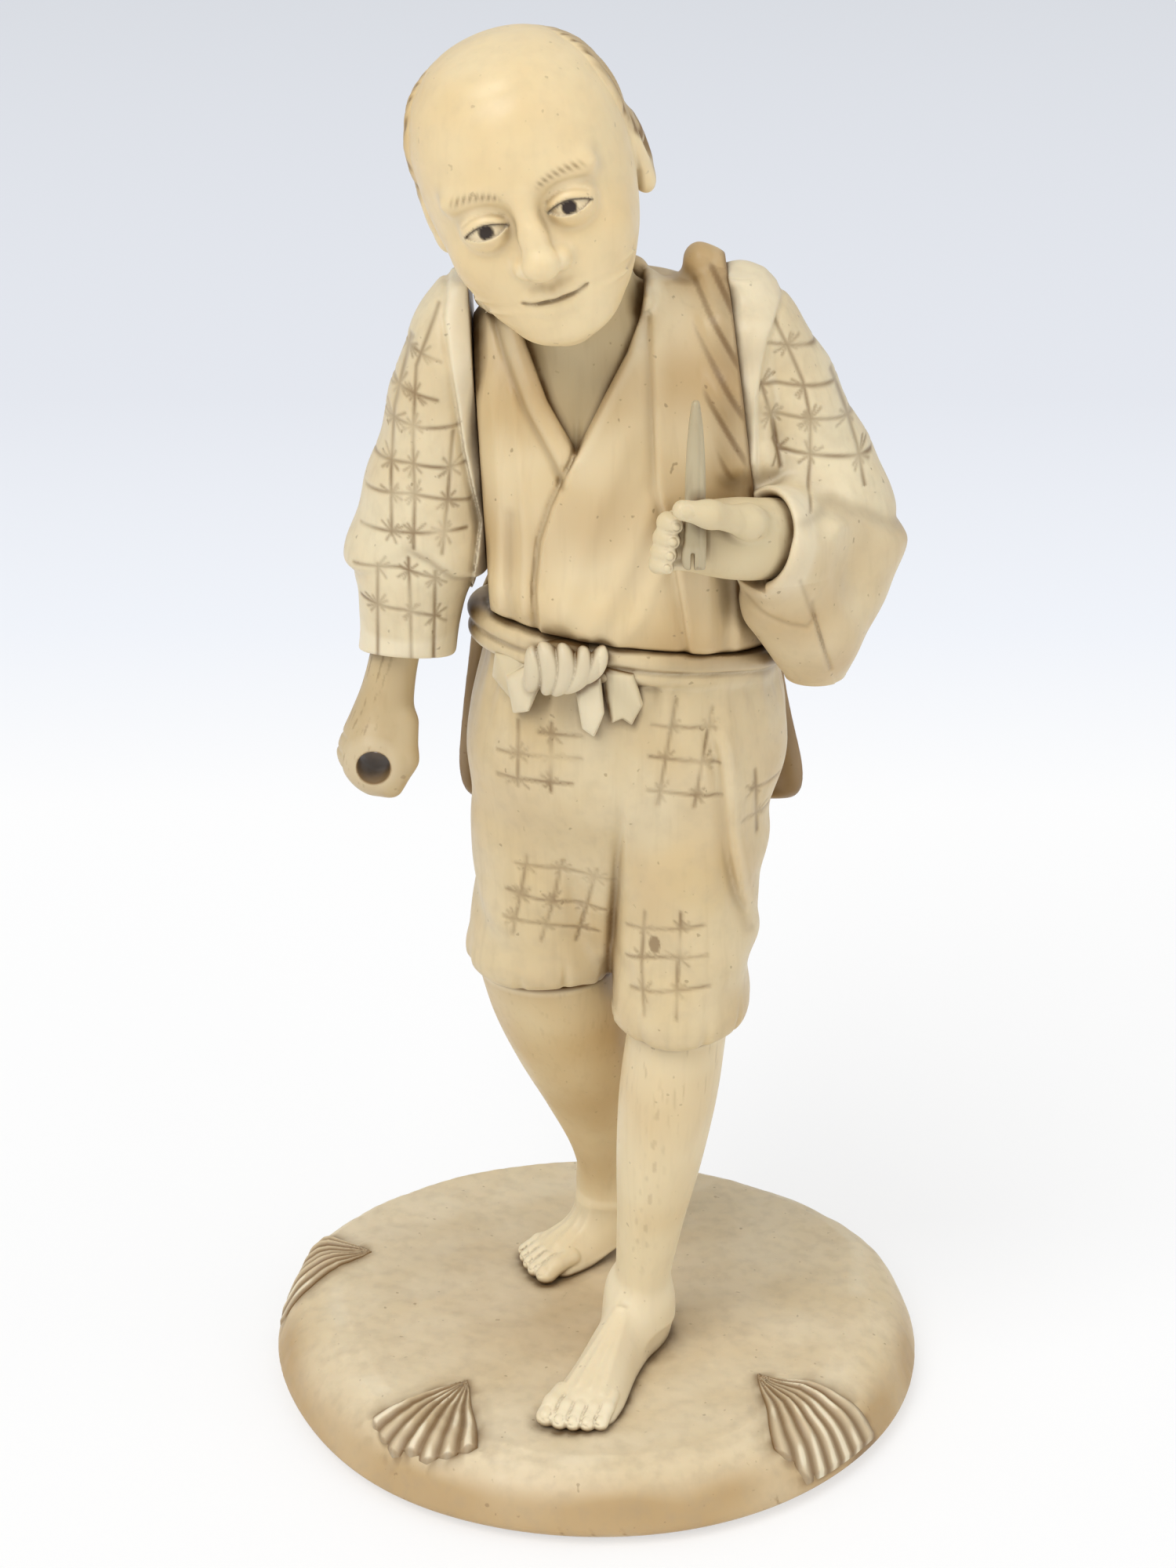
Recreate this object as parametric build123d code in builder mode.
"""Sectional okimono: a walking figure carved in sections, pegged together on an oval base.

Millimetres, +Z up, the figure faces -Y. The origin is the centre of the base's flat underside.
"""

import math
import os

from build123d import *

# Base: an egg-shaped slice with a rounded shoulder and a flat top, widest behind its middle
BASE_WIDTH = 78.5
BASE_DEPTH = 73.4
BASE_HEIGHT = 8.5
BASE_WIDEST_Y = 4.5
BASE_TOP_INSET_SIDE = 8.5
BASE_TOP_INSET_FRONT = 5.5
BASE_TOP_INSET_BACK = 2.0
BASE_RIM_HEIGHT = 2.2
BASE_FOOT_INSET = 2.4
# Shares of the base's height, with shares of the way in to the flat top
BASE_SHOULDER = [(0.62, 0.2), (0.9, 0.6), (1, 1)]

# Fans of leaf ribs in relief on the base: apex x, apex y, heading and spread in degrees
FANS = [(-27.5, 10.5, 216.0, 52.0), (-14.5, -15.5, 246.0, 58.0), (19.0, -14.5, 303.0, 62.0)]
FAN_RIBS = 7
FAN_START = 2.0
FAN_LENGTH = 15.5
FAN_RIB_START = 0.2
FAN_RIB_END = 1.7
FAN_RELIEF = 0.9
FAN_EDGE = 1.3

# Pegs, the fit of a fixed peg in its hole, and the gap round a piece that turns
PEG_RADIUS = 1.3
PEG_REACH = 4.5
FOOT_PEG_REACH = 3.2
SMALL_PEG_RADIUS = 0.8
SMALL_PEG_REACH = 2.6
PEG_FIT = 0.04
TURN_GAP = 0.3
POCKET_GAP = 0.15

# Legs: heights above the base's top, and the seats where leg and trouser meet
LEFT_KNEE_HEIGHT = 44.3
RIGHT_KNEE_HEIGHT = 46.8
LEFT_ANKLE_HEIGHT = 4.5
RIGHT_ANKLE_HEIGHT = 8.5
FOOT_LENGTH = 27.0
FOOT_BALL = 0.68
TOE_RADIUS = 1.15
TOE_PITCH = 1.65
TOES = 5
LEFT_HEEL = (6.8, -2.4)
LEFT_HEADING = 247.5
LEFT_ANKLE_SHARE = 0.2
# The right heel is lifted, so that foot reaches less far along the ground
RIGHT_HEEL = (8.8, 19.8)
RIGHT_HEADING = 215.0
RIGHT_HEEL_LIFT = 8.0
RIGHT_FOOT_REACH = 22.0
RIGHT_ANKLE_SHARE = 0.41
RIGHT_PEG_SHARE = 0.72
RIGHT_SHIN_BOW = 1.3

# Shares of the way from knee to ankle, with half width and half depth
LEFT_SHIN = [
    (0, 5.6, 6.2),
    (0.25, 5.6, 6.7),
    (0.45, 5.0, 6.4),
    (0.7, 3.8, 4.9),
    (0.9, 3.2, 3.9),
    (1, 3.2, 4.0),
]
RIGHT_SHIN = [
    (0, 7.8, 7.7),
    (0.2, 8.4, 7.9),
    (0.4, 7.7, 7.4),
    (0.6, 5.9, 6.2),
    (0.8, 4.0, 4.7),
    (1, 3.2, 3.8),
]
# Shares of the foot from heel to toe, with half width and height
FOOT_GIRTHS = [
    (0.02, 1.6, 2.8),
    (0.14, 3.0, 6.2),
    (0.32, 3.1, 7.4),
    (0.55, 3.5, 5.6),
    (0.78, 4.1, 3.7),
    (0.96, 3.9, 2.2),
]

# Trousers and the tilted seat at the waist
WAIST_HEIGHT = 88.0
WAIST_SEAT_RISE = 2.2
WAIST_X = 3.3
WAIST_Y = -3.0
WAIST_ROLL = 8.0
WAIST_PITCH = -6.5
HIP_HALF_WIDTH = 17.3
HIP_HALF_DEPTH = 14.0
HIP_DEPTH_BELOW_WAIST = 16.0
WAIST_HALF_WIDTH = 15.6
WAIST_HALF_DEPTH = 13.2
BELT_WIDTH = 4.2
BELT_HALF_WIDTH = 16.3
BELT_HALF_DEPTH = 13.9
LEFT_KNEE = (9.0, -10.0)
RIGHT_KNEE = (-6.1, 0.0)
LEFT_HIP = (10.6, -5.0)
RIGHT_HIP = (-6.0, -3.0)
LEG_RISE_INTO_HIPS = 4.0
LEFT_TROUSER = [
    (0, 8.3, 10.5),
    (0.35, 8.5, 10.6),
    (0.7, 7.8, 9.6),
    (0.9, 7.2, 8.8),
    (1, 6.3, 7.8),
]
RIGHT_TROUSER = [
    (0, 8.4, 9.8),
    (0.35, 8.5, 9.6),
    (0.7, 8.4, 9.2),
    (0.9, 8.5, 9.0),
    (1, 8.3, 8.6),
]
# Cloth that joins the two trouser legs, from the hips down to a share of the way to the hems
INSEAM = [(0, 4.5, 7.5), (0.45, 4.0, 7.0), (0.9, 3.4, 6.4)]
BELT_DROP = 0.5

# Knot of the belt, lying on a flat worked on the front of the belt
KNOT_X = -2.0
KNOT_DROP = 4.1
KNOT_SEAT_DEPTH = 12.2
KNOT_HALF_WIDTH = 3.6
KNOT_HALF_HEIGHT = 3.4
KNOT_THICKNESS = 4.0
KNOT_TAIL_LENGTH = 8.0
KNOT_TAIL_WIDTH = 3.4
KNOT_TAIL_SPREAD = 34.0
KNOT_FLAT_WIDTH = 15.0
KNOT_FLAT_HEIGHT = 17.0

# Coat tail hanging from the robe behind the hips
TAIL_GAP = 0.4
TAIL_THICKNESS = 2.0
TAIL_TOP_RISE = 9.0
TAIL_BELT_RISE = 1.0
TAIL_TOP_SINK = 1.0
TAIL_HIP_DROP = 7.0
TAIL_DROP = 25.5
TAIL_FLARE = 2.6
TAIL_SHIFT = 1.3
TAIL_FRONT_Y = 4.0

# Robe: heights above the waist, centre x, centre y, half width, half depth
ROBE = [
    (-9.0, 3.2, -3.4, 15.2, 13.2),
    (2.0, 3.0, -3.8, 15.9, 14.0),
    (13.0, 2.6, -4.6, 16.4, 13.4),
    (24.0, 1.6, -5.0, 16.4, 12.2),
    (33.0, 1.0, -4.6, 15.6, 10.4),
    (38.0, 0.7, -4.2, 12.4, 8.2),
    (40.5, 0.6, -4.0, 8.4, 6.0),
]
SEAT_HEIGHT = 25.0
RIGHT_SEAT_X = -12.7
RIGHT_SEAT_TILT = 3.0
LEFT_SEAT_X = 15.3
LEFT_SEAT_TILT = 7.5
SHOULDER_PEG_RISE = 5.0
NECKLINE_X = -2.2
NECKLINE_BOTTOM = 22.0
NECKLINE_TOP = 37.0
NECKLINE_HALF_WIDTH = 7.4
NECKLINE_BACK_Y = -6.0
NECKLINE_FRONT_Y = -40.0
CHEST_RECESS = 1.4
# Roll of cloth over the left shoulder: heights above the waist, then as for the robe
SHOULDER_ROLL = [
    (41.5, 11.8, -4.0, 2.0, 3.0),
    (36.0, 12.4, -10.0, 2.0, 2.6),
    (30.0, 13.0, -13.0, 1.9, 2.2),
    (24.0, 13.6, -14.0, 1.4, 1.6),
]

# Head, held by a round neck: its centre above the waist, and its tilt in degrees
HEAD_X = -7.0
HEAD_Y = -14.6
HEAD_RISE = 53.3
HEAD_BOW = 8.0
HEAD_ROLL = 18.0
NECK_RADIUS = 6.2
NECK_BACK = 4.4
NECK_SEAT = -6.0
NECK_LENGTH = 17.0
# Heights from the head's centre, centre depth, half width, half depth
HEAD = [
    (-14.2, -7.2, 3.2, 2.8),
    (-11.7, -5.5, 6.4, 5.7),
    (-8.0, -3.2, 8.8, 8.7),
    (-2.8, -0.9, 10.3, 11.2),
    (2.8, 0.0, 10.8, 12.3),
    (8.0, 0.3, 10.0, 11.5),
    (11.8, 0.3, 7.6, 8.9),
    (14.0, 0.3, 4.3, 5.1),
]
CROWN_HEIGHT = 14.7
EAR_HEIGHT = 7.8
EAR_WIDTH = 4.4
EAR_THICKNESS = 2.0
EAR_BACK = 2.5
HAIR_PROUD = 0.6
HAIR_REACH = 9.0
HAIR_FRONT = 2.0
HAIR_SLOPE = 30.0
NOSE = [
    (1.0, -11.3, 0.9, 1.1),
    (-2.3, -11.4, 1.4, 2.2),
    (-4.2, -10.8, 2.0, 2.4),
    (-5.3, -9.9, 1.4, 1.5),
]

# Right arm: sleeve heights above the waist, then centre x, centre y, half width, half depth
RIGHT_SLEEVE = [
    (40.6, -14.4, -4.8, 2.3, 3.6),
    (35.5, -15.2, -5.0, 4.6, 6.2),
    (26.0, -17.4, -5.5, 5.4, 7.1),
    (18.5, -18.4, -6.0, 6.6, 7.4),
    (11.0, -19.3, -6.0, 7.6, 7.6),
    (6.8, -20.0, -6.0, 6.1, 6.9),
    (3.0, -20.5, -6.0, 5.5, 6.4),
    (-1.0, -20.9, -6.0, 5.2, 6.1),
]
RIGHT_CUFF = (-22.2, -6.0)
RIGHT_FIST = (-24.5, -7.4)
RIGHT_FIST_DROP = 12.2
FOREARM_RADIUS = 2.75
CUFF_DEPTH = 4.0
# Distances from the fist's bore up the forearm, with half width and half depth
FOREARM = [
    (-4.6, 1.6, 1.9),
    (-2.9, 3.1, 3.2),
    (0, 3.95, 3.8),
    (2.6, 3.65, 3.5),
    (5.4, 3.1, 3.0),
    (7.6, 2.75, 2.75),
]
FIST_BORE_RADIUS = 1.8

# Left arm: sleeve to the hanging corner, then the hand that comes out of its mouth
LEFT_SLEEVE = [
    (40.6, 14.6, -3.0, 2.6, 4.2),
    (35.0, 17.0, -3.0, 5.0, 6.4),
    (29.0, 19.3, -3.0, 6.0, 7.4),
    (22.0, 21.8, -3.2, 7.2, 8.2),
    (15.5, 24.2, -4.2, 7.4, 8.6),
    (10.0, 25.0, -6.6, 6.2, 8.4),
    (4.0, 24.3, -9.6, 5.0, 6.4),
    (-1.0, 23.8, -11.0, 2.4, 2.8),
]
# Lower lip of the sleeve's mouth, hanging under the wrist, as for the sleeve
LEFT_LIP = [
    (15.0, 18.8, -17.0, 4.2, 4.2),
    (10.5, 19.3, -17.7, 5.0, 3.2),
    (4.5, 21.4, -15.0, 4.8, 3.5),
    (-0.7, 22.9, -11.8, 2.4, 2.4),
]
LEFT_ELBOW = (25.5, -6.5)
LEFT_ELBOW_RISE = 12.5
LEFT_WRIST = (19.1, -17.6)
LEFT_WRIST_RISE = 16.0
HAND_HEADING = 206.0
HAND_RAISE = 13.0
MOUTH_RADIUS = 5.15
MOUTH_REACH = 2.2
ELBOW_RADIUS = 5.8
# Distances from the wrist along the hand, with half height and half thickness
HAND = [
    (-2.0, 3.6, 3.4),
    (1.5, 4.2, 3.5),
    (5.0, 4.4, 3.3),
    (8.5, 4.0, 3.1),
    (12.0, 3.4, 2.9),
    (14.6, 2.2, 2.3),
]
# Thumb in the hand's frame: height, depth, distance along the hand, radius
THUMB = [
    (1.6, -1.8, 2.5, 1.7),
    (2.6, -3.9, 7.0, 1.35),
    (3.2, -4.95, 12.4, 1.1),
    (3.4, -4.6, 15.0, 0.8),
]
GRIP = 12.4
GRIP_FORWARD = 2.6
GRIP_RISE = 1.2
STICK_RADIUS = 0.95
STICK_TIP_RADIUS = 0.5
STICK_FLARE_RADIUS = 1.7
STICK_ABOVE = 12.8
STICK_BELOW = 3.4
STICK_LEAN = 13.0
STICK_FIT = 0.05

SOLE_Z = BASE_HEIGHT
WAIST_Z = SOLE_Z + WAIST_HEIGHT
LEFT_KNEE_Z = SOLE_Z + LEFT_KNEE_HEIGHT
RIGHT_KNEE_Z = SOLE_Z + RIGHT_KNEE_HEIGHT
UP = Vector(0, 0, 1)
WAIST = Plane(Location((WAIST_X, WAIST_Y, WAIST_Z + WAIST_SEAT_RISE), (WAIST_PITCH, WAIST_ROLL, 0)))
HEAD_FRAME = Plane(Location((HEAD_X, HEAD_Y, WAIST_Z + HEAD_RISE), (HEAD_BOW, -HEAD_ROLL, 0)))
NECK = Plane(HEAD_FRAME.from_local_coords((0, NECK_BACK, NECK_SEAT)), HEAD_FRAME.x_dir, HEAD_FRAME.z_dir)
SEAT_Z = WAIST_Z + SEAT_HEIGHT
RIGHT_SEAT = Plane(Location((RIGHT_SEAT_X, WAIST_Y, SEAT_Z), (0, -90 - RIGHT_SEAT_TILT, 0)))
LEFT_SEAT = Plane(Location((LEFT_SEAT_X, WAIST_Y, SEAT_Z), (0, 90 - LEFT_SEAT_TILT, 0)))
FROM_BOTTOM = (Align.CENTER, Align.CENTER, Align.MIN)
FROM_TOP = (Align.CENTER, Align.CENTER, Align.MAX)

os.makedirs("parts", exist_ok=True)


def ring(centre, half_x, half_y, frame=Plane.XY):
    """Elliptical cross-section parallel to a frame's XY plane, centred on a point of that frame."""
    plane = Plane(frame.from_local_coords(centre), frame.x_dir, frame.z_dir)
    with BuildSketch(plane) as section:
        Ellipse(half_x, half_y)
    return section.sketch


def limb(start, end, girths, bow=0.0):
    """Level cross-sections at shares of the way from one point to another, bowed out toward +X."""
    sections = []
    for share, half_x, half_y in girths:
        out = Vector(bow * math.sin(math.pi * share), 0, 0)
        sections.append(ring(Vector(*start) * (1 - share) + Vector(*end) * share + out, half_x, half_y))
    return sections


def stack(girths, floor):
    """Level cross-sections at heights above a floor."""
    return [ring((x, y, floor + height), half_x, half_y) for height, x, y, half_x, half_y in girths]


def bore(joint, radius, reach):
    """Round hole through a joint's seat, as deep as a peg's reach on both sides."""
    with Locations(joint):
        Cylinder(radius, 2 * reach, mode=Mode.SUBTRACT)


def finish(part, name):
    """Names a finished piece and writes it to its own file."""
    part.label = name
    export_step(part, f"parts/{name}.step")


def facing(origin, direction, across):
    """Plane at a point, looking along a direction."""
    return Plane(origin=origin, x_dir=across, z_dir=direction)


def heading(degrees, climb=0.0):
    """Direction at a compass angle measured from +X, climbing by an angle from level."""
    across = Vector(1, 0, 0).rotate(Axis.Z, degrees - 90)
    return Vector(1, 0, 0).rotate(Axis.Z, degrees).rotate(Axis((0, 0, 0), across), climb)


# Joints: the seat of each peg, looking along the peg
LEFT_ANKLE = Vector(*LEFT_HEEL, 0) + heading(LEFT_HEADING) * (LEFT_ANKLE_SHARE * FOOT_LENGTH)
RIGHT_ANKLE = Vector(*RIGHT_HEEL, 0) + heading(RIGHT_HEADING) * (RIGHT_ANKLE_SHARE * RIGHT_FOOT_REACH)
RIGHT_BALL = Vector(*RIGHT_HEEL, 0) + heading(RIGHT_HEADING) * (RIGHT_PEG_SHARE * RIGHT_FOOT_REACH)
LEFT_FOOT_JOINT = Plane((LEFT_ANKLE.X, LEFT_ANKLE.Y, SOLE_Z))
RIGHT_FOOT_JOINT = Plane((RIGHT_BALL.X, RIGHT_BALL.Y, SOLE_Z))
LEFT_KNEE_JOINT = Plane((*LEFT_KNEE, LEFT_KNEE_Z))
RIGHT_KNEE_JOINT = Plane((*RIGHT_KNEE, RIGHT_KNEE_Z))
RIGHT_SHOULDER_JOINT = RIGHT_SEAT.shift_origin(RIGHT_SEAT.from_local_coords((SHOULDER_PEG_RISE, 0, 0)))
LEFT_SHOULDER_JOINT = LEFT_SEAT.shift_origin(LEFT_SEAT.from_local_coords((-SHOULDER_PEG_RISE, 0, 0)))

FOREARM_FOOT = Vector(*RIGHT_FIST, WAIST_Z - RIGHT_FIST_DROP)
CUFF_MIDDLE = Vector(*RIGHT_CUFF, WAIST_Z + RIGHT_SLEEVE[-1][0])
FOREARM_FRAME = facing(FOREARM_FOOT, CUFF_MIDDLE - FOREARM_FOOT, (1, 0, 0))
FOREARM_TOP = (CUFF_MIDDLE - FOREARM_FOOT).length + CUFF_DEPTH
CUFF_JOINT = FOREARM_FRAME.offset(FOREARM_TOP)

WRIST_POINT = Vector(*LEFT_WRIST, WAIST_Z + LEFT_WRIST_RISE)
HAND_FRAME = facing(WRIST_POINT, heading(HAND_HEADING, HAND_RAISE), UP)
WRIST_JOINT = HAND_FRAME.offset(HAND[0][0])
GRIP_POINT = HAND_FRAME.from_local_coords((GRIP_RISE, -GRIP_FORWARD, GRIP))
STICK_FRAME = Plane(Location(GRIP_POINT, (-STICK_LEAN, 0, 0)))

KNOT_POINT = WAIST.from_local_coords((KNOT_X - WAIST_X, -KNOT_SEAT_DEPTH, -KNOT_DROP))
KNOT_SEAT = facing(KNOT_POINT, (0, -1, 0), (1, 0, 0))


# Base with the relief fans
def base_outline(height, side_inset, front_inset, back_inset):
    """Egg-shaped outline of the base at a height, drawn in at the sides, front and back."""
    half_width = BASE_WIDTH / 2 - side_inset
    front = BASE_DEPTH / 2 + BASE_WIDEST_Y - front_inset
    back = BASE_DEPTH / 2 - BASE_WIDEST_Y - back_inset
    with BuildSketch(Plane.XY.offset(height)) as outline:
        with BuildLine():
            EllipticalCenterArc((0, BASE_WIDEST_Y), half_width, back, start_angle=0, arc_size=180)
            EllipticalCenterArc((0, BASE_WIDEST_Y), half_width, front, start_angle=180, arc_size=180)
        make_face()
    return outline.sketch


def base_sections(rise):
    """Outlines of the base from its foot to its flat top, all raised by a given amount."""
    sections = [
        base_outline(rise, BASE_FOOT_INSET, BASE_FOOT_INSET, BASE_FOOT_INSET),
        base_outline(rise + BASE_RIM_HEIGHT, 0, 0, 0),
    ]
    for height_share, inset_share in BASE_SHOULDER:
        insets = [BASE_TOP_INSET_SIDE, BASE_TOP_INSET_FRONT, BASE_TOP_INSET_BACK]
        sections.append(base_outline(rise + height_share * BASE_HEIGHT, *[inset_share * inset for inset in insets]))
    return sections


def fan_rib(apex_x, apex_y, degrees):
    """Plan of one rib of a fan, widening from the apex outward."""
    apex = Vector(apex_x, apex_y)
    along, across = heading(degrees), heading(degrees + 90)
    start, end = apex + along * FAN_START, apex + along * FAN_LENGTH
    Polygon(
        start + across * (FAN_RIB_START / 2),
        end + across * (FAN_RIB_END / 2),
        end - across * (FAN_RIB_END / 2),
        start - across * (FAN_RIB_START / 2),
        align=None,
    )


with BuildPart() as fans:
    loft(base_sections(FAN_RELIEF))
    with BuildSketch():
        for fan_x, fan_y, fan_heading, fan_spread in FANS:
            for rib in range(FAN_RIBS):
                fan_rib(fan_x, fan_y, fan_heading + fan_spread * (rib / (FAN_RIBS - 1) - 0.5))
        add(base_outline(0, FAN_EDGE, FAN_EDGE, FAN_EDGE), mode=Mode.INTERSECT)
    extrude(amount=2 * BASE_HEIGHT, mode=Mode.INTERSECT)

with BuildPart() as base:
    loft(base_sections(0))
    add(fans.part)
    bore(LEFT_FOOT_JOINT, PEG_RADIUS + PEG_FIT, PEG_REACH)
    bore(RIGHT_FOOT_JOINT, PEG_RADIUS + PEG_FIT, FOOT_PEG_REACH)
finish(base.part, "base")


# Legs with bare feet
def foot_sections(heel, degrees, length, heel_lift):
    """Upright cross-sections of a foot from heel to toe, the heel lifted and the ball on the ground."""
    toward = heading(degrees)
    sections = []
    for share, half_width, height in FOOT_GIRTHS:
        lift = heel_lift * max(0.0, 1 - share / FOOT_BALL) ** 1.5
        centre = Vector(*heel, SOLE_Z + lift) + toward * (share * length)
        sections.append(ring((0, 0, 0), half_width, height, facing(centre, toward, UP.cross(toward))))
    return sections


def toe_places(heel, degrees, length):
    """Centres of the toes along the front of a foot."""
    toward = heading(degrees)
    side = UP.cross(toward)
    middle = Vector(*heel, SOLE_Z + 0.5 * TOE_RADIUS) + toward * (length - TOE_RADIUS)
    return [middle + side * (TOE_PITCH * (toe - (TOES - 1) / 2)) for toe in range(TOES)]


with BuildPart() as left_leg:
    loft(limb((*LEFT_KNEE, LEFT_KNEE_Z), (LEFT_ANKLE.X, LEFT_ANKLE.Y, SOLE_Z + LEFT_ANKLE_HEIGHT), LEFT_SHIN))
    loft(foot_sections(LEFT_HEEL, LEFT_HEADING, FOOT_LENGTH, 0))
    with Locations(toe_places(LEFT_HEEL, LEFT_HEADING, FOOT_LENGTH)):
        Sphere(TOE_RADIUS)
    split(bisect_by=Plane.XY.offset(SOLE_Z), keep=Keep.TOP)
    bore(LEFT_KNEE_JOINT, PEG_RADIUS + PEG_FIT, PEG_REACH)
    bore(LEFT_FOOT_JOINT, PEG_RADIUS + PEG_FIT, PEG_REACH)
finish(left_leg.part, "left_leg")

with BuildPart() as right_leg:
    right_ankle = (RIGHT_ANKLE.X, RIGHT_ANKLE.Y, SOLE_Z + RIGHT_ANKLE_HEIGHT)
    loft(limb((*RIGHT_KNEE, RIGHT_KNEE_Z), right_ankle, RIGHT_SHIN, RIGHT_SHIN_BOW))
    loft(foot_sections(RIGHT_HEEL, RIGHT_HEADING, RIGHT_FOOT_REACH, RIGHT_HEEL_LIFT))
    with Locations(toe_places(RIGHT_HEEL, RIGHT_HEADING, RIGHT_FOOT_REACH)):
        Sphere(TOE_RADIUS)
    split(bisect_by=Plane.XY.offset(SOLE_Z), keep=Keep.TOP)
    bore(RIGHT_KNEE_JOINT, PEG_RADIUS + PEG_FIT, PEG_REACH)
    bore(RIGHT_FOOT_JOINT, PEG_RADIUS + PEG_FIT, FOOT_PEG_REACH)
finish(right_leg.part, "right_leg")

# Trousers with the belt, cut off on the tilted seat at the waist
HIP_Z = WAIST_Z - HIP_DEPTH_BELOW_WAIST
LEFT_LEG_TOP = Vector(*LEFT_HIP, HIP_Z + LEG_RISE_INTO_HIPS)
RIGHT_LEG_TOP = Vector(*RIGHT_HIP, HIP_Z + LEG_RISE_INTO_HIPS)
LEFT_HEM = Vector(*LEFT_KNEE, LEFT_KNEE_Z)
RIGHT_HEM = Vector(*RIGHT_KNEE, RIGHT_KNEE_Z)
with BuildPart() as trousers:
    hip_middle_z = HIP_Z + 0.5 * HIP_DEPTH_BELOW_WAIST
    above_seat_z = WAIST_Z + 0.5 * HIP_DEPTH_BELOW_WAIST
    loft(
        [
            ring((WAIST_X, WAIST_Y, HIP_Z), HIP_HALF_WIDTH, HIP_HALF_DEPTH),
            ring((WAIST_X, WAIST_Y, hip_middle_z), HIP_HALF_WIDTH, HIP_HALF_DEPTH),
            ring((WAIST_X, WAIST_Y, WAIST_Z), WAIST_HALF_WIDTH, WAIST_HALF_DEPTH),
            ring((WAIST_X, WAIST_Y, above_seat_z), WAIST_HALF_WIDTH, WAIST_HALF_DEPTH),
        ]
    )
    loft(limb(LEFT_LEG_TOP, LEFT_HEM, LEFT_TROUSER))
    loft(limb(RIGHT_LEG_TOP, RIGHT_HEM, RIGHT_TROUSER))
    loft(limb((LEFT_LEG_TOP + RIGHT_LEG_TOP) / 2, (LEFT_HEM + RIGHT_HEM) / 2, INSEAM))
    with BuildSketch(WAIST.offset(-BELT_WIDTH)):
        Ellipse(BELT_HALF_WIDTH, BELT_HALF_DEPTH)
    extrude(amount=BELT_WIDTH - BELT_DROP)
    split(bisect_by=WAIST, keep=Keep.BOTTOM)
    with BuildSketch(KNOT_SEAT):
        Rectangle(KNOT_FLAT_WIDTH, KNOT_FLAT_HEIGHT)
    extrude(amount=HIP_HALF_DEPTH, mode=Mode.SUBTRACT)
    bore(LEFT_KNEE_JOINT, PEG_RADIUS + PEG_FIT, PEG_REACH)
    bore(RIGHT_KNEE_JOINT, PEG_RADIUS + PEG_FIT, PEG_REACH)
    bore(WAIST, PEG_RADIUS + PEG_FIT, PEG_REACH)
    bore(KNOT_SEAT, SMALL_PEG_RADIUS + PEG_FIT, SMALL_PEG_REACH)
finish(trousers.part, "trousers")

# Robe's body, with flat cheeks for the sleeves and a notch for neck and chest
NECK_FOOT = NECK.offset(-NECK_LENGTH)


def neckline(inset):
    """Wedge of the open neckline, from its front to its back wall."""
    half_width = NECKLINE_HALF_WIDTH - inset
    with BuildSketch(Plane.XZ.offset(inset - NECKLINE_BACK_Y)) as wedge:
        with BuildLine():
            Polyline(
                (NECKLINE_X - half_width, WAIST_Z + NECKLINE_TOP),
                (NECKLINE_X, WAIST_Z + NECKLINE_BOTTOM + 2 * inset),
                (NECKLINE_X + half_width, WAIST_Z + NECKLINE_TOP),
                close=True,
            )
        make_face()
    return extrude(wedge.sketch, amount=NECKLINE_BACK_Y - NECKLINE_FRONT_Y - inset, mode=Mode.PRIVATE)


def tail_sections(proud):
    """Cross-sections of the coat tail at a given distance outside the waist and hips."""
    sunk = proud - TAIL_TOP_SINK
    return [
        ring((WAIST_X, WAIST_Y, WAIST_Z + TAIL_TOP_RISE), WAIST_HALF_WIDTH + sunk, WAIST_HALF_DEPTH + sunk),
        ring((WAIST_X, WAIST_Y, WAIST_Z + TAIL_BELT_RISE), BELT_HALF_WIDTH + proud, BELT_HALF_DEPTH + proud),
        ring((WAIST_X, WAIST_Y, WAIST_Z - TAIL_HIP_DROP), HIP_HALF_WIDTH + proud, HIP_HALF_DEPTH + proud),
        ring(
            (WAIST_X + TAIL_SHIFT, WAIST_Y, WAIST_Z - TAIL_DROP),
            HIP_HALF_WIDTH + proud + TAIL_FLARE,
            HIP_HALF_DEPTH + proud + TAIL_FLARE,
        ),
    ]


with BuildPart() as tail:
    loft(tail_sections(TAIL_GAP + TAIL_THICKNESS))
    loft(tail_sections(TAIL_GAP), mode=Mode.SUBTRACT)
    split(bisect_by=Plane.XZ.offset(-TAIL_FRONT_Y), keep=Keep.BOTTOM)

with BuildPart() as torso:
    loft(stack(ROBE, WAIST_Z))
    loft(stack(SHOULDER_ROLL, WAIST_Z))
    split(bisect_by=WAIST, keep=Keep.TOP)
    split(bisect_by=RIGHT_SEAT, keep=Keep.BOTTOM)
    split(bisect_by=LEFT_SEAT, keep=Keep.BOTTOM)
    add(tail.part)
    add(neckline(0), mode=Mode.SUBTRACT)
    with Locations(NECK_FOOT):
        Cylinder(
            NECK_RADIUS + POCKET_GAP,
            2 * NECK_LENGTH,
            align=FROM_BOTTOM,
            mode=Mode.SUBTRACT,
        )
    bore(WAIST, PEG_RADIUS + PEG_FIT, PEG_REACH)
    bore(RIGHT_SHOULDER_JOINT, PEG_RADIUS + PEG_FIT, PEG_REACH)
    bore(LEFT_SHOULDER_JOINT, PEG_RADIUS + PEG_FIT, PEG_REACH)
finish(torso.part, "torso")

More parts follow.
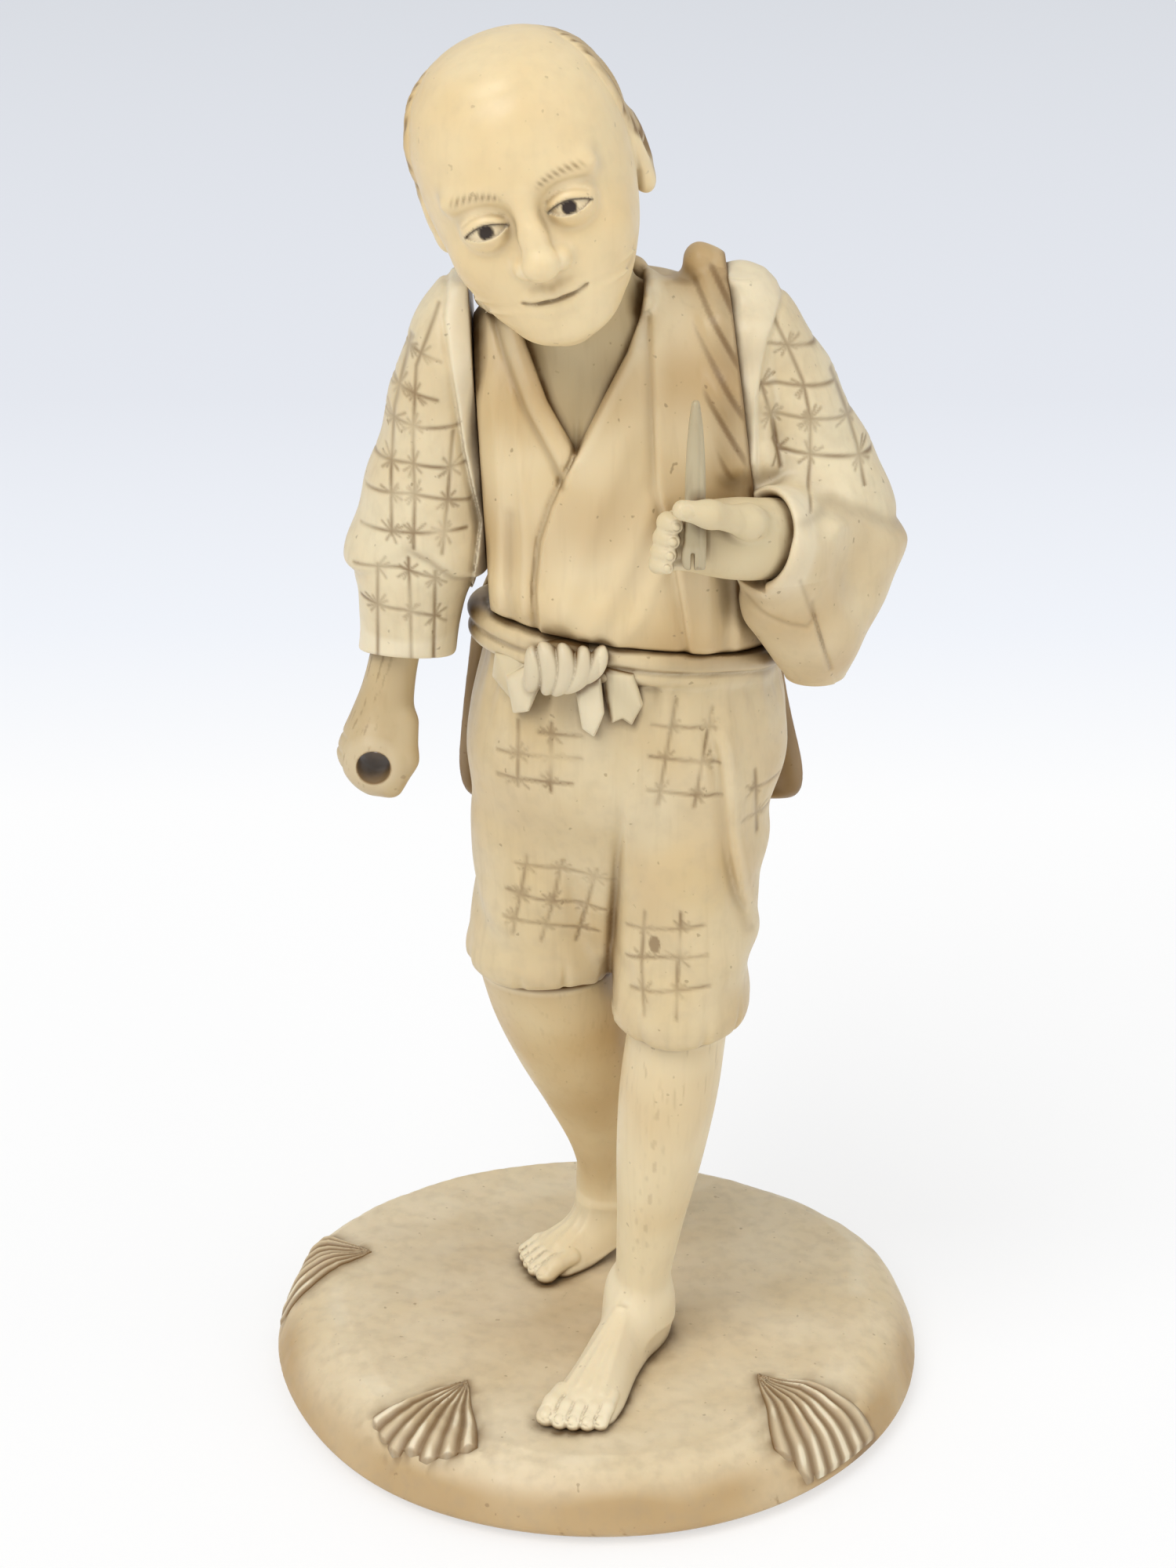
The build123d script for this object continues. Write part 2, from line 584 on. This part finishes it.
# Neck and chest in one piece, let into the robe; the chest lies back from the robe's front
with BuildPart() as neck_chest:
    skin = [(height, x, y, half_x, half_y - CHEST_RECESS) for height, x, y, half_x, half_y in ROBE]
    loft(stack(skin, WAIST_Z))
    add(neckline(POCKET_GAP), mode=Mode.INTERSECT)
    with Locations(NECK_FOOT):
        Cylinder(NECK_RADIUS, NECK_LENGTH, align=FROM_BOTTOM)
    bore(NECK, PEG_RADIUS + PEG_FIT, PEG_REACH)
finish(neck_chest.part, "neck_chest")


# Head on its round neck seat
def head_sections(proud, reach):
    """Cross-sections of the head within a distance of its centre, swollen by a given amount."""
    sections = []
    for height, y, half_x, half_y in HEAD:
        if abs(height) <= reach:
            sections.append(ring((0, y, height), half_x + proud, half_y + proud, HEAD_FRAME))
    return sections


def in_head(point, turns):
    """Plane given by a point and turns in the head's own frame."""
    return Plane(HEAD_FRAME.location * Location(point, turns))


with BuildPart() as head:
    loft(head_sections(HAIR_PROUD, HAIR_REACH))
    split(bisect_by=in_head((0, HAIR_FRONT, 0), (-90 + HAIR_SLOPE, 0, 0)), keep=Keep.TOP)
    crown = Vertex(*HEAD_FRAME.from_local_coords((0, HEAD[-1][1], CROWN_HEIGHT)))
    loft(head_sections(0, CROWN_HEIGHT) + [crown])
    loft([ring((0, y, height), half_x, half_y, HEAD_FRAME) for height, y, half_x, half_y in NOSE])
    for side in (-1, 1):
        ear_x = side * HEAD[4][2] - EAR_THICKNESS / 2
        with BuildSketch(in_head((ear_x, EAR_BACK, -1), (0, 90, 0))):
            Ellipse(EAR_HEIGHT / 2, EAR_WIDTH / 2)
        extrude(amount=EAR_THICKNESS)
    with Locations(NECK.offset(TURN_GAP)):
        Cylinder(
            NECK_RADIUS + TURN_GAP,
            3 * NECK_LENGTH,
            align=FROM_TOP,
            mode=Mode.SUBTRACT,
        )
    bore(NECK, PEG_RADIUS + PEG_FIT, PEG_REACH)
finish(head.part, "head")

# Right sleeve with a round cuff, and the forearm that turns in it
with BuildPart() as right_sleeve:
    loft(stack(RIGHT_SLEEVE, WAIST_Z))
    split(bisect_by=RIGHT_SEAT, keep=Keep.TOP)
    with Locations(CUFF_JOINT):
        Cylinder(
            FOREARM_RADIUS + TURN_GAP,
            2 * FOREARM_TOP,
            align=FROM_TOP,
            mode=Mode.SUBTRACT,
        )
    bore(RIGHT_SHOULDER_JOINT, PEG_RADIUS + PEG_FIT, PEG_REACH)
    bore(CUFF_JOINT, PEG_RADIUS + PEG_FIT, PEG_REACH)
finish(right_sleeve.part, "right_sleeve")

with BuildPart() as right_forearm:
    loft([ring((0, 0, height), half_x, half_y, FOREARM_FRAME) for height, half_x, half_y in FOREARM])
    with Locations(CUFF_JOINT.offset(-TURN_GAP)):
        Cylinder(
            FOREARM_RADIUS,
            FOREARM_TOP - FOREARM[-1][0] - TURN_GAP,
            align=FROM_TOP,
        )
    with Locations(facing(FOREARM_FOOT, (0, -1, 0), (1, 0, 0))):
        Cylinder(FIST_BORE_RADIUS, 4 * FOREARM_RADIUS, mode=Mode.SUBTRACT)
    bore(CUFF_JOINT, PEG_RADIUS + PEG_FIT, PEG_REACH)
finish(right_forearm.part, "right_forearm")

# Left sleeve with its hanging corner and its mouth, and the hand set in the mouth
ELBOW_POINT = Vector(*LEFT_ELBOW, WAIST_Z + LEFT_ELBOW_RISE)
with BuildPart() as left_sleeve:
    loft(stack(LEFT_SLEEVE, WAIST_Z))
    split(bisect_by=LEFT_SEAT, keep=Keep.TOP)
    fore_frame = facing(ELBOW_POINT, WRIST_POINT - ELBOW_POINT, UP)
    elbow_ring = ring((0, 0, 0), ELBOW_RADIUS, ELBOW_RADIUS, fore_frame)
    loft([elbow_ring, ring((0, 0, MOUTH_REACH), MOUTH_RADIUS, MOUTH_RADIUS, HAND_FRAME)])
    loft(stack(LEFT_LIP, WAIST_Z))
    with Locations(WRIST_JOINT):
        Cylinder(
            HAND[2][1] + POCKET_GAP,
            3 * MOUTH_RADIUS,
            align=FROM_BOTTOM,
            mode=Mode.SUBTRACT,
        )
    bore(LEFT_SHOULDER_JOINT, PEG_RADIUS + PEG_FIT, PEG_REACH)
    bore(WRIST_JOINT, PEG_RADIUS + PEG_FIT, PEG_REACH)
finish(left_sleeve.part, "left_sleeve")

with BuildPart() as left_hand:
    loft([ring((0, 0, reach), half_up, half_thick, HAND_FRAME) for reach, half_up, half_thick in HAND])
    loft([ring((rise, depth, reach), radius, radius, HAND_FRAME) for rise, depth, reach, radius in THUMB])
    with Locations(STICK_FRAME):
        Cylinder(STICK_RADIUS + STICK_FIT, STICK_ABOVE + STICK_BELOW, mode=Mode.SUBTRACT)
    with Locations(STICK_FRAME.offset(STICK_FLARE_RADIUS - STICK_BELOW + STICK_FIT)):
        Cylinder(
            STICK_FLARE_RADIUS + STICK_FIT,
            STICK_BELOW,
            align=FROM_TOP,
            mode=Mode.SUBTRACT,
        )
    bore(WRIST_JOINT, PEG_RADIUS + PEG_FIT, PEG_REACH)
finish(left_hand.part, "left_hand")

# Stick held upright in the left hand
with BuildPart() as held_stick:
    with Locations(STICK_FRAME.offset(-STICK_BELOW)):
        Cone(STICK_FLARE_RADIUS, STICK_RADIUS, STICK_FLARE_RADIUS, align=FROM_BOTTOM)
    with Locations(STICK_FRAME.offset(STICK_FLARE_RADIUS - STICK_BELOW)):
        Cylinder(STICK_RADIUS, STICK_BELOW, align=FROM_BOTTOM)
    with Locations(STICK_FRAME.offset(STICK_FLARE_RADIUS)):
        Cone(
            STICK_RADIUS,
            STICK_TIP_RADIUS,
            STICK_ABOVE - STICK_FLARE_RADIUS,
            align=FROM_BOTTOM,
        )
finish(held_stick.part, "held_stick")

# Knot of the belt: a wrapped middle, two ends, flat at the back
with BuildPart() as belt_knot:
    with BuildSketch(KNOT_SEAT):
        Ellipse(KNOT_HALF_WIDTH, KNOT_HALF_HEIGHT)
    extrude(amount=KNOT_THICKNESS)
    fillet(belt_knot.faces().sort_by(Axis.Y).first.edges(), 0.4 * KNOT_THICKNESS)
    for side in (-1, 1):
        tail_middle = Vector(0, -KNOT_TAIL_LENGTH / 2).rotate(Axis.Z, side * KNOT_TAIL_SPREAD)
        with BuildSketch(KNOT_SEAT):
            with Locations(tail_middle):
                Rectangle(KNOT_TAIL_WIDTH, KNOT_TAIL_LENGTH, rotation=side * KNOT_TAIL_SPREAD)
        extrude(amount=0.5 * KNOT_THICKNESS)
    bore(KNOT_SEAT, SMALL_PEG_RADIUS + PEG_FIT, SMALL_PEG_REACH)
finish(belt_knot.part, "belt_knot")

# Pegs
PEGS = {
    "neck_peg": (NECK, PEG_RADIUS, PEG_REACH),
    "waist_peg": (WAIST, PEG_RADIUS, PEG_REACH),
    "right_shoulder_peg": (RIGHT_SHOULDER_JOINT, PEG_RADIUS, PEG_REACH),
    "left_shoulder_peg": (LEFT_SHOULDER_JOINT, PEG_RADIUS, PEG_REACH),
    "right_wrist_peg": (CUFF_JOINT, PEG_RADIUS, PEG_REACH),
    "left_wrist_peg": (WRIST_JOINT, PEG_RADIUS, PEG_REACH),
    "left_knee_peg": (LEFT_KNEE_JOINT, PEG_RADIUS, PEG_REACH),
    "right_knee_peg": (RIGHT_KNEE_JOINT, PEG_RADIUS, PEG_REACH),
    "left_foot_peg": (LEFT_FOOT_JOINT, PEG_RADIUS, PEG_REACH),
    "right_foot_peg": (RIGHT_FOOT_JOINT, PEG_RADIUS, FOOT_PEG_REACH),
    "knot_peg": (KNOT_SEAT, SMALL_PEG_RADIUS, SMALL_PEG_REACH),
}
for peg_name, (joint, peg_radius, peg_reach) in PEGS.items():
    with BuildPart(joint) as peg:
        Cylinder(peg_radius, 2 * peg_reach)
    finish(peg.part, peg_name)
